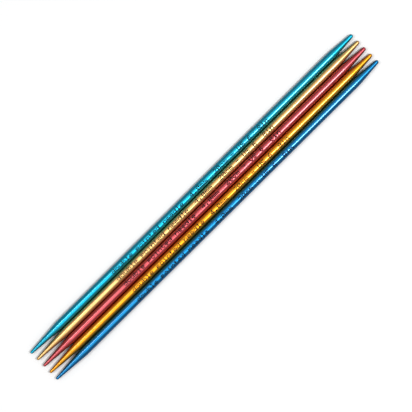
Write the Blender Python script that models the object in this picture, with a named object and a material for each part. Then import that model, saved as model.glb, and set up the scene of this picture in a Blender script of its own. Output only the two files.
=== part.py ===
"""Five double pointed knitting needles lying side by side on a flat surface.

Each needle is one turned aluminium rod, 4 mm by 200 mm, with a long fine point at one end and a
shorter, blunter point at the other. The needles run along X with their fine points at -X, the row
lies across Y, and Z is up. The origin is under the middle of the row, on the surface it rests on.
"""

import math

import bmesh
import bpy

MM = 0.001  # metres

# Every needle
NEEDLE_LENGTH = 200 * MM  # tip to tip
SHAFT_DIAMETER = 4 * MM  # across two opposite facets
NEEDLE_CLEARANCE = 0.02 * MM  # between two neighbours in the row

# The two points. A length runs from the tip to where the shaft has its full diameter. The cone
# between the nose and the shoulder touches both of their arcs.
FINE_POINT_LENGTH = 18 * MM
FINE_NOSE_RADIUS = 0.65 * MM
FINE_SHOULDER_RADIUS = 15 * MM
BLUNT_POINT_LENGTH = 15 * MM
BLUNT_NOSE_RADIUS = 0.92 * MM
BLUNT_SHOULDER_RADIUS = 40 * MM

# How finely the round shapes are faceted. The sides are a multiple of four, so that one facet
# faces down and one faces each neighbour.
SIDES = 32
NOSE_STEPS = 6
SHOULDER_STEPS = 6
MERGE_DISTANCE = 0.001 * MM

# The row from +Y to -Y: each needle's name and its anodised colour, as linear red, green, blue
ROW = (
    ("teal_needle", (0.000, 0.420, 0.590)),
    ("champagne_needle", (0.760, 0.520, 0.220)),
    ("red_needle", (0.570, 0.100, 0.120)),
    ("gold_needle", (0.770, 0.390, 0.005)),
    ("blue_needle", (0.000, 0.230, 0.500)),
)
METALLIC = 1.0
ROUGHNESS = 0.32


def clear_scene():
    for obj in list(bpy.data.objects):
        bpy.data.objects.remove(obj)


def cone_half_angle(length, nose_radius, shoulder_radius):
    """The angle between the axis and the line that touches the nose arc and the shoulder arc."""
    along = length - nose_radius
    across = shoulder_radius - SHAFT_DIAMETER / 2
    between_centres = math.hypot(along, across)
    lean = math.asin((shoulder_radius - nose_radius) / between_centres)
    return lean - math.atan2(across, along)


def point_profile(length, nose_radius, shoulder_radius):
    """(distance from the tip, radius) pairs, from the tip to the full shaft."""
    half_angle = cone_half_angle(length, nose_radius, shoulder_radius)
    profile = []
    for step in range(NOSE_STEPS + 1):
        turn = (math.pi / 2 - half_angle) * step / NOSE_STEPS
        profile.append((nose_radius * (1 - math.cos(turn)), nose_radius * math.sin(turn)))
    for step in range(SHOULDER_STEPS + 1):
        turn = half_angle * (1 - step / SHOULDER_STEPS)
        drop = shoulder_radius * (1 - math.cos(turn))
        profile.append((length - shoulder_radius * math.sin(turn), SHAFT_DIAMETER / 2 - drop))
    return profile


def needle_profile():
    """(x, radius) pairs, from the fine tip to the blunt tip."""
    fine = point_profile(FINE_POINT_LENGTH, FINE_NOSE_RADIUS, FINE_SHOULDER_RADIUS)
    blunt = point_profile(BLUNT_POINT_LENGTH, BLUNT_NOSE_RADIUS, BLUNT_SHOULDER_RADIUS)
    half = NEEDLE_LENGTH / 2
    profile = [(distance - half, radius) for distance, radius in fine]
    return profile + [(half - distance, radius) for distance, radius in reversed(blunt)]


def needle_mesh():
    """The profile spun round the X axis. Each facet's middle, not its edge, is at the radius."""
    to_facet_edge = math.tan(math.pi / SIDES)
    bm = bmesh.new()
    verts = [bm.verts.new((x, radius * to_facet_edge, radius)) for x, radius in needle_profile()]
    edges = [bm.edges.new(ends) for ends in zip(verts, verts[1:])]
    bmesh.ops.spin(
        bm, geom=verts + edges, axis=(1, 0, 0), cent=(0, 0, 0), steps=SIDES, angle=2 * math.pi
    )
    bmesh.ops.remove_doubles(bm, verts=bm.verts, dist=MERGE_DISTANCE)
    bmesh.ops.recalc_face_normals(bm, faces=bm.faces)
    mesh = bpy.data.meshes.new("needle")
    bm.to_mesh(mesh)
    bm.free()
    mesh.shade_smooth()
    return mesh


def anodised(name, colour):
    material = bpy.data.materials.new(name)
    material.use_nodes = True
    shader = material.node_tree.nodes["Principled BSDF"]
    shader.inputs["Base Color"].default_value = (*colour, 1)
    shader.inputs["Metallic"].default_value = METALLIC
    shader.inputs["Roughness"].default_value = ROUGHNESS
    return material


def place_needles():
    """One object for each needle, with its origin in the middle of its axis."""
    pitch = SHAFT_DIAMETER + NEEDLE_CLEARANCE
    middle = (len(ROW) - 1) / 2
    row = bpy.data.objects.new("needle_row", None)
    bpy.context.scene.collection.objects.link(row)
    for place, (name, colour) in enumerate(ROW):
        needle = bpy.data.objects.new(name, needle_mesh())
        needle.data.materials.append(anodised(name, colour))
        needle.location = (0, (middle - place) * pitch, SHAFT_DIAMETER / 2)
        needle.parent = row
        bpy.context.scene.collection.objects.link(needle)


clear_scene()
place_needles()
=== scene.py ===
"""The looks of five double pointed knitting needles that lie side by side on a white table."""

import math
import random

import bmesh
import bpy
from mathutils import Matrix, Vector


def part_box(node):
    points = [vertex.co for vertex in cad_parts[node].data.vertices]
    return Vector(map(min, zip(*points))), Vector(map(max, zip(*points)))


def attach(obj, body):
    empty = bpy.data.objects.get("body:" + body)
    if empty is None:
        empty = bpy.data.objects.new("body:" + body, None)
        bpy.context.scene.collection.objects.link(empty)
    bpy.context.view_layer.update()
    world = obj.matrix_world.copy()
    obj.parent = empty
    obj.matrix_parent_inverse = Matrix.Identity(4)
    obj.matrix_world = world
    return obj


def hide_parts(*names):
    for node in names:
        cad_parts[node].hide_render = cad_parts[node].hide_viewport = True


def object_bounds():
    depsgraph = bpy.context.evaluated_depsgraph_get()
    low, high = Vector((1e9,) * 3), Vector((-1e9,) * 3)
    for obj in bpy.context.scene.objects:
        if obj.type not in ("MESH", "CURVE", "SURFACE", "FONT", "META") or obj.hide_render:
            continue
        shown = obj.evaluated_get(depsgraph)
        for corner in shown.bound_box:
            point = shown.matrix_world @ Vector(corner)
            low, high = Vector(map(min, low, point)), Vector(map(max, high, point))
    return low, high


MM = 0.001  # metres

# The two points of every needle, as the CAD part has them
FINE_POINT = {"length": 18 * MM, "nose_radius": 0.65 * MM, "shoulder_radius": 15 * MM}
BLUNT_POINT = {"length": 15 * MM, "nose_radius": 0.92 * MM, "shoulder_radius": 40 * MM}

# How finely a needle is turned
SIDES = 96
NOSE_STEPS = 14
CONE_STEPS = 30
SHOULDER_STEPS = 16
SHAFT_STEPS = 80
MERGE_DISTANCE = 0.001 * MM

# The marking printed along each shaft, in dots
MARKING = "double pointed needle  4.0mm  20cm - US 6  8in"
CELL_COLUMNS = 6  # five dots and a space
GLYPH_ROWS = 7
COLUMN_PITCH = 0.35 * MM
ROW_PITCH = 0.285 * MM
DOT_RADIUS = 0.225 * MM
DOT_RADIUS_SPREAD = 0.1
DOT_SIDES = 8
INK_HEIGHT = 0.008 * MM
INK_DEPTH = 0.005 * MM

GLYPHS = {
    "d": "....# ....# .##.# #..## #...# #..## .##.#",
    "o": "..... ..... .###. #...# #...# #...# .###.",
    "u": "..... ..... #...# #...# #...# #..## .##.#",
    "b": "#.... #.... #.##. ##..# #...# ##..# #.##.",
    "l": ".##.. ..#.. ..#.. ..#.. ..#.. ..#.. .###.",
    "e": "..... ..... .###. #...# ##### #.... .###.",
    "p": "..... ..... ####. #...# ####. #.... #....",
    "i": "..#.. ..... .##.. ..#.. ..#.. ..#.. .###.",
    "n": "..... ..... #.##. ##..# #...# #...# #...#",
    "t": ".#... .#... ###.. .#... .#... .#..# ..##.",
    "m": "..... ..... ##.#. #.#.# #.#.# #.#.# #.#.#",
    "c": "..... ..... .###. #...# #.... #...# .###.",
    "0": ".###. #...# #..## #.#.# ##..# #...# .###.",
    "2": ".###. #...# ....# ...#. ..#.. .#... #####",
    "4": "...#. ..##. .#.#. #..#. ##### ...#. ...#.",
    "6": "..##. .#... #.... ####. #...# #...# .###.",
    "8": ".###. #...# #...# .###. #...# #...# .###.",
    "U": "#...# #...# #...# #...# #...# #...# .###.",
    "S": ".#### #.... #.... .###. ....# ....# ####.",
    ".": "..... ..... ..... ..... ..... .##.. .##..",
    "-": "..... ..... ..... ##### ..... ..... .....",
}

# The row, from +Y to -Y. The marking starts this far past the middle of the needle and is rolled
# this far towards -Y.
NEEDLES = (
    {"name": "teal", "colour": (0.0, 0.244, 0.348), "start": -49.2 * MM, "roll": 5},
    {"name": "champagne", "colour": (0.479, 0.298, 0.113), "start": -49.6 * MM, "roll": -8},
    {"name": "red", "colour": (0.325, 0.053, 0.062), "start": -49.0 * MM, "roll": -17},
    {"name": "gold", "colour": (0.488, 0.212, 0.003), "start": -48.2 * MM, "roll": 3},
    {"name": "blue", "colour": (0.0, 0.128, 0.28), "start": -49.7 * MM, "roll": 14},
)

# The anodised metal. A grain is how long and how wide the spots of a noise are: short, wide spots
# draw faint rings round the needle. TINT and ROUGHNESS are the ranges that their noises span.
METALLIC = 0.95
EDGE_TINT = (0.0, 0.0, 0.0)  # no whiter reflection where the surface is seen edge on
TINT = (0.94, 1.04)  # times the needle's colour
TINT_GRAIN = (6 * MM, 4 * MM)
TINT_DETAIL = 3.0
ROUGHNESS = (0.36, 0.40)
ROUGHNESS_GRAIN = (0.6 * MM, 5 * MM)
RING_HEIGHT = 0.001 * MM
RING_STRENGTH = 0.1
RING_GRAIN = (0.25 * MM, 3 * MM)
ANISOTROPIC = 0.75
ANISOTROPIC_TURN = 0.25  # of a whole turn, so that the brushing runs round the needle
COAT_WEIGHT = 0.6
COAT_ROUGHNESS = 0.2
COAT_IOR = 1.5

# The ink of the marking
INK_COLOURS = ((0.003, 0.003, 0.004), (0.008, 0.008, 0.009))
INK_GRAIN = (0.2 * MM, 0.2 * MM)
INK_ROUGHNESS = 0.6
INK_SPECULAR = 0.1

# The camera looks straight down and is turned so that the needles climb to the right
CAMERA_TURN = math.radians(-44.72)
CAMERA_LENS = 100
CAMERA_SENSOR = 36
CAMERA_NEAR = 10 * MM
VIEW_WIDTH = 182.1 * MM
VIEW_SHIFT = (0.8 * MM, -0.19 * MM)  # of the view's middle from the row's middle

# Two strip softboxes, each past one end of the row and to one side of it
RIGHT_STRIP = {"place": (170 * MM, -190 * MM, 700 * MM), "length": 220 * MM, "width": 60 * MM}
LEFT_STRIP = {"place": (-250 * MM, 235 * MM, 700 * MM), "length": 220 * MM, "width": 100 * MM}
RIGHT_POWER = 4.2
LEFT_POWER = 1.7

# How bright the surround is past the needles' tips, beside them and overhead. All of it fades to
# nothing at the horizon.
WORLD_ENDS = 1.8
WORLD_SIDES = 1.4
WORLD_OVERHEAD = 1.1
BACKDROP = 0.5  # what the camera sees of the surround, behind the table

FLOOR_SIZE = 3.0
FLOOR_CORNERS = ((-1, -1), (1, -1), (1, 1), (-1, 1))
FLOOR_COLOUR = (0.48, 0.48, 0.48)
FLOOR_ROUGHNESS = 0.9

# Sockets of the Mix node that can't be told apart by name, and the middle half of a noise's range
MIX_FIRST_COLOUR = 6
MIX_SECOND_COLOUR = 7
MIX_RESULT_COLOUR = 2
NOISE_MIDDLE = (0.25, 0.75)


def point_profile(point, shaft_radius):
    """(distance from the tip, radius) pairs, from the tip to the full shaft."""
    length, nose, shoulder = point["length"], point["nose_radius"], point["shoulder_radius"]
    along = length - nose
    across = shoulder - shaft_radius
    half_angle = math.asin((shoulder - nose) / math.hypot(along, across))
    half_angle -= math.atan2(across, along)
    profile = []
    for step in range(NOSE_STEPS + 1):
        turn = (math.pi / 2 - half_angle) * step / NOSE_STEPS
        profile.append((nose * (1 - math.cos(turn)), nose * math.sin(turn)))
    cone_start = profile[-1]
    cone_end = (
        length - shoulder * math.sin(half_angle),
        shaft_radius - shoulder * (1 - math.cos(half_angle)),
    )
    for step in range(1, CONE_STEPS):
        share = step / CONE_STEPS
        profile.append(tuple(a + (b - a) * share for a, b in zip(cone_start, cone_end)))
    for step in range(SHOULDER_STEPS + 1):
        turn = half_angle * (1 - step / SHOULDER_STEPS)
        drop = shoulder * (1 - math.cos(turn))
        profile.append((length - shoulder * math.sin(turn), shaft_radius - drop))
    return profile


def needle_profile(length, radius):
    """(x, radius) pairs, from the fine tip to the blunt tip."""
    half = length / 2
    fine = [(distance - half, r) for distance, r in point_profile(FINE_POINT, radius)]
    blunt = [(half - distance, r) for distance, r in reversed(point_profile(BLUNT_POINT, radius))]
    shaft = []
    for step in range(1, SHAFT_STEPS):
        share = step / SHAFT_STEPS
        shaft.append((fine[-1][0] + (blunt[0][0] - fine[-1][0]) * share, radius))
    return fine + shaft + blunt


def turned_needle(name, length, radius):
    """The profile spun round the X axis."""
    bm = bmesh.new()
    verts = [bm.verts.new((x, 0, r)) for x, r in needle_profile(length, radius)]
    edges = [bm.edges.new(ends) for ends in zip(verts, verts[1:])]
    bmesh.ops.spin(
        bm, geom=verts + edges, axis=(1, 0, 0), cent=(0, 0, 0), steps=SIDES, angle=2 * math.pi
    )
    bmesh.ops.remove_doubles(bm, verts=bm.verts, dist=MERGE_DISTANCE)
    bmesh.ops.recalc_face_normals(bm, faces=bm.faces)
    return new_object(name, bm)


def new_object(name, bm):
    """Turns this bmesh into a smooth-shaded object in the scene."""
    mesh = bpy.data.meshes.new(name)
    bm.to_mesh(mesh)
    bm.free()
    mesh.shade_smooth()
    obj = bpy.data.objects.new(name, mesh)
    bpy.context.scene.collection.objects.link(obj)
    return obj


def marking_dots():
    """(cell column, glyph row) of every dot of the marking."""
    for cell, letter in enumerate(MARKING):
        for row, dots in enumerate(GLYPHS.get(letter, "").split()):
            for column, dot in enumerate(dots):
                if dot == "#":
                    yield cell * CELL_COLUMNS + column, row


def add_dot(bm, x, angle, dot_radius, shaft_radius):
    """One low round spot of ink that follows the shaft's curve."""

    def vert(along, around, height):
        r, turn = shaft_radius + height, angle + around / shaft_radius
        return bm.verts.new((x + along, -r * math.sin(turn), r * math.cos(turn)))

    turns = [2 * math.pi * side / DOT_SIDES for side in range(DOT_SIDES)]
    rim = [(dot_radius * math.cos(turn), dot_radius * math.sin(turn)) for turn in turns]
    bottom = [vert(*place, -INK_DEPTH) for place in rim]
    top = [vert(*place, INK_HEIGHT) for place in rim]
    crown = vert(0, 0, INK_HEIGHT)
    bm.faces.new(bottom)
    for side in range(DOT_SIDES):
        following = (side + 1) % DOT_SIDES
        bm.faces.new((bottom[side], bottom[following], top[following], top[side]))
        bm.faces.new((crown, top[side], top[following]))


def printed_marking(name, start, roll, shaft_radius):
    """The marking as spots of ink round the shaft's top."""
    chance = random.Random(name)
    middle_row = (GLYPH_ROWS - 1) / 2
    bm = bmesh.new()
    for column, row in marking_dots():
        angle = math.radians(roll) + (row - middle_row) * ROW_PITCH / shaft_radius
        dot_radius = DOT_RADIUS * chance.uniform(1 - DOT_RADIUS_SPREAD, 1)
        add_dot(bm, start + column * COLUMN_PITCH, angle, dot_radius, shaft_radius)
    bmesh.ops.recalc_face_normals(bm, faces=bm.faces)
    return new_object(name, bm)


class Nodes:
    """A material's node tree, with short ways to add what these materials use."""

    def __init__(self, name):
        self.material = bpy.data.materials.new(name)
        self.material.use_nodes = True
        self.tree = self.material.node_tree
        self.shader = self.tree.nodes["Principled BSDF"]

    def add(self, kind, **settings):
        node = self.tree.nodes.new(kind)
        for key, value in settings.items():
            setattr(node, key, value)
        return node

    def link(self, output, socket):
        self.tree.links.new(output, socket)

    def noise(self, along, around, detail=2.0):
        """Noise with grains of these sizes along the needle and across it, in metres."""
        place = self.add("ShaderNodeTexCoord")
        mapping = self.add("ShaderNodeMapping")
        mapping.inputs["Scale"].default_value = (1 / along, 1 / around, 1 / around)
        texture = self.add("ShaderNodeTexNoise")
        texture.inputs["Scale"].default_value = 1
        texture.inputs["Detail"].default_value = detail
        self.link(place.outputs["Object"], mapping.inputs["Vector"])
        self.link(mapping.outputs["Vector"], texture.inputs["Vector"])
        return texture.outputs["Fac"]

    def spread(self, value, low, high):
        """Maps the middle of a noise's range to the range from low to high."""
        node = self.add("ShaderNodeMapRange")
        node.inputs["From Min"].default_value = NOISE_MIDDLE[0]
        node.inputs["From Max"].default_value = NOISE_MIDDLE[1]
        node.inputs["To Min"].default_value = low
        node.inputs["To Max"].default_value = high
        self.link(value, node.inputs["Value"])
        return node.outputs["Result"]

    def mix(self, value, first, second):
        """A colour between these two."""
        node = self.add("ShaderNodeMix", data_type="RGBA")
        node.inputs[MIX_FIRST_COLOUR].default_value = (*first, 1)
        node.inputs[MIX_SECOND_COLOUR].default_value = (*second, 1)
        self.link(value, node.inputs["Factor"])
        return node.outputs[MIX_RESULT_COLOUR]

    def bump(self, value, strength, distance):
        """A normal tilted by relief of this depth, in metres."""
        node = self.add("ShaderNodeBump")
        node.inputs["Strength"].default_value = strength
        node.inputs["Distance"].default_value = distance
        self.link(value, node.inputs["Height"])
        return node.outputs["Normal"]

    def set(self, **values):
        """Sets the shader's sockets, each named with _ for a space."""
        for key, value in values.items():
            self.shader.inputs[key.replace("_", " ")].default_value = value


def anodised(name, colour):
    """Satin anodised aluminium with faint rings from turning."""
    nodes = Nodes(name)
    inputs = nodes.shader.inputs
    deep, light = [tuple(c * share for c in colour) for share in TINT]
    tint = nodes.noise(*TINT_GRAIN, detail=TINT_DETAIL)
    nodes.link(nodes.mix(tint, deep, light), inputs["Base Color"])
    nodes.link(nodes.spread(nodes.noise(*ROUGHNESS_GRAIN), *ROUGHNESS), inputs["Roughness"])
    rings = nodes.noise(*RING_GRAIN)
    nodes.link(nodes.bump(rings, RING_STRENGTH, RING_HEIGHT), inputs["Normal"])
    tangent = nodes.add("ShaderNodeTangent", direction_type="RADIAL", axis="X")
    nodes.link(tangent.outputs["Tangent"], inputs["Tangent"])
    nodes.set(Anisotropic=ANISOTROPIC, Anisotropic_Rotation=ANISOTROPIC_TURN)
    nodes.set(Metallic=METALLIC, Specular_Tint=(*EDGE_TINT, 1))
    nodes.set(Coat_Weight=COAT_WEIGHT, Coat_Roughness=COAT_ROUGHNESS, Coat_IOR=COAT_IOR)
    return nodes.material


def ink(name):
    """Matt black ink."""
    nodes = Nodes(name)
    shade = nodes.mix(nodes.noise(*INK_GRAIN), *INK_COLOURS)
    nodes.link(shade, nodes.shader.inputs["Base Color"])
    nodes.set(Roughness=INK_ROUGHNESS, Specular_IOR_Level=INK_SPECULAR)
    return nodes.material


def make_needles():
    black = ink("marking_ink")
    for needle in NEEDLES:
        name = needle["name"]
        node = f"{name}_needle"
        low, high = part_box(node)
        radius = (high[2] - low[2]) / 2
        middle = [(a + b) / 2 for a, b in zip(low, high)]
        rod = turned_needle(f"{name}_turned_needle", high[0] - low[0], radius)
        rod.data.materials.append(anodised(f"{name}_anodised", needle["colour"]))
        rod.location = middle
        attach(rod, name)
        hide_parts(node)
        print_name = f"{name}_printed_marking"
        marking = printed_marking(print_name, needle["start"], needle["roll"], radius)
        marking.data.materials.append(black)
        marking.location = middle
        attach(marking, name)


def make_floor():
    half = FLOOR_SIZE / 2
    bm = bmesh.new()
    bm.faces.new([bm.verts.new((x * half, y * half, 0)) for x, y in FLOOR_CORNERS])
    floor = new_object("floor", bm)
    nodes = Nodes("floor")
    nodes.set(Base_Color=(*FLOOR_COLOUR, 1), Roughness=FLOOR_ROUGHNESS, Specular_IOR_Level=0.0)
    floor.data.materials.append(nodes.material)


def make_camera(shaft_radius):
    """A camera above the row, as far as the view's width needs at the height of the axes."""
    data = bpy.data.cameras.new("camera")
    data.lens = CAMERA_LENS
    data.sensor_width = CAMERA_SENSOR
    data.clip_start = CAMERA_NEAR
    camera = bpy.data.objects.new("camera", data)
    distance = VIEW_WIDTH * CAMERA_LENS / CAMERA_SENSOR
    camera.location = (*VIEW_SHIFT, shaft_radius + distance)
    camera.rotation_euler = (0, 0, CAMERA_TURN)
    bpy.context.scene.collection.objects.link(camera)
    bpy.context.scene.camera = camera


def make_strip(name, strip, power):
    """A strip softbox that faces the middle of the row, with its length along the needles."""
    towards_light = Vector(strip["place"]).normalized()
    along = (Vector((1, 0, 0)) - towards_light * towards_light.x).normalized()
    across = towards_light.cross(along)
    data = bpy.data.lights.new(name, "AREA")
    data.shape = "RECTANGLE"
    data.size = strip["length"]
    data.size_y = strip["width"]
    data.energy = power
    light = bpy.data.objects.new(name, data)
    turn = Matrix((along, across, towards_light)).transposed().to_4x4()
    light.matrix_world = Matrix.Translation(strip["place"]) @ turn
    bpy.context.scene.collection.objects.link(light)


def make_world():
    """A surround that fades towards the horizon, and a plain pale backdrop for the camera."""
    world = bpy.data.worlds.new("studio")
    bpy.context.scene.world = world
    world.use_nodes = True
    nodes, links = world.node_tree.nodes, world.node_tree.links
    direction = nodes.new("ShaderNodeTexCoord").outputs["Generated"]
    squares = nodes.new("ShaderNodeVectorMath")
    squares.operation = "MULTIPLY"
    links.new(direction, squares.inputs[0])
    links.new(direction, squares.inputs[1])
    weighed = nodes.new("ShaderNodeVectorMath")
    weighed.operation = "DOT_PRODUCT"
    weighed.inputs[1].default_value = (WORLD_ENDS, WORLD_SIDES, WORLD_OVERHEAD)
    links.new(squares.outputs["Vector"], weighed.inputs[0])
    height = nodes.new("ShaderNodeSeparateXYZ")
    links.new(direction, height.inputs["Vector"])
    faded = nodes.new("ShaderNodeMath")
    faded.operation = "MULTIPLY"
    links.new(weighed.outputs["Value"], faded.inputs[0])
    links.new(height.outputs["Z"], faded.inputs[1])
    rays = nodes.new("ShaderNodeLightPath")
    strength = nodes.new("ShaderNodeMix")
    strength.inputs["B"].default_value = BACKDROP
    links.new(rays.outputs["Is Camera Ray"], strength.inputs["Factor"])
    links.new(faded.outputs["Value"], strength.inputs["A"])
    background = nodes["Background"]
    background.inputs["Color"].default_value = (1, 1, 1, 1)
    links.new(strength.outputs["Result"], background.inputs["Strength"])


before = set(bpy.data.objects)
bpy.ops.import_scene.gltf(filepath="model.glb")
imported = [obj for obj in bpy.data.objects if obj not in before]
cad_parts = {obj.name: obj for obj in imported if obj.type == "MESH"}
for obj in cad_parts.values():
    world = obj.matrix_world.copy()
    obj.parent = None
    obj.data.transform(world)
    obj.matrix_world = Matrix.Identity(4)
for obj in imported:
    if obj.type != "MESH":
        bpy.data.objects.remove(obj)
cad_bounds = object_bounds()
bpy.context.scene.view_settings.view_transform = "Standard"
bpy.context.scene.view_settings.look = "Medium High Contrast"
make_needles()
make_floor()
make_camera(shaft_radius=cad_bounds[1][2] / 2)
make_strip("right_strip", RIGHT_STRIP, RIGHT_POWER)
make_strip("left_strip", LEFT_STRIP, LEFT_POWER)
make_world()
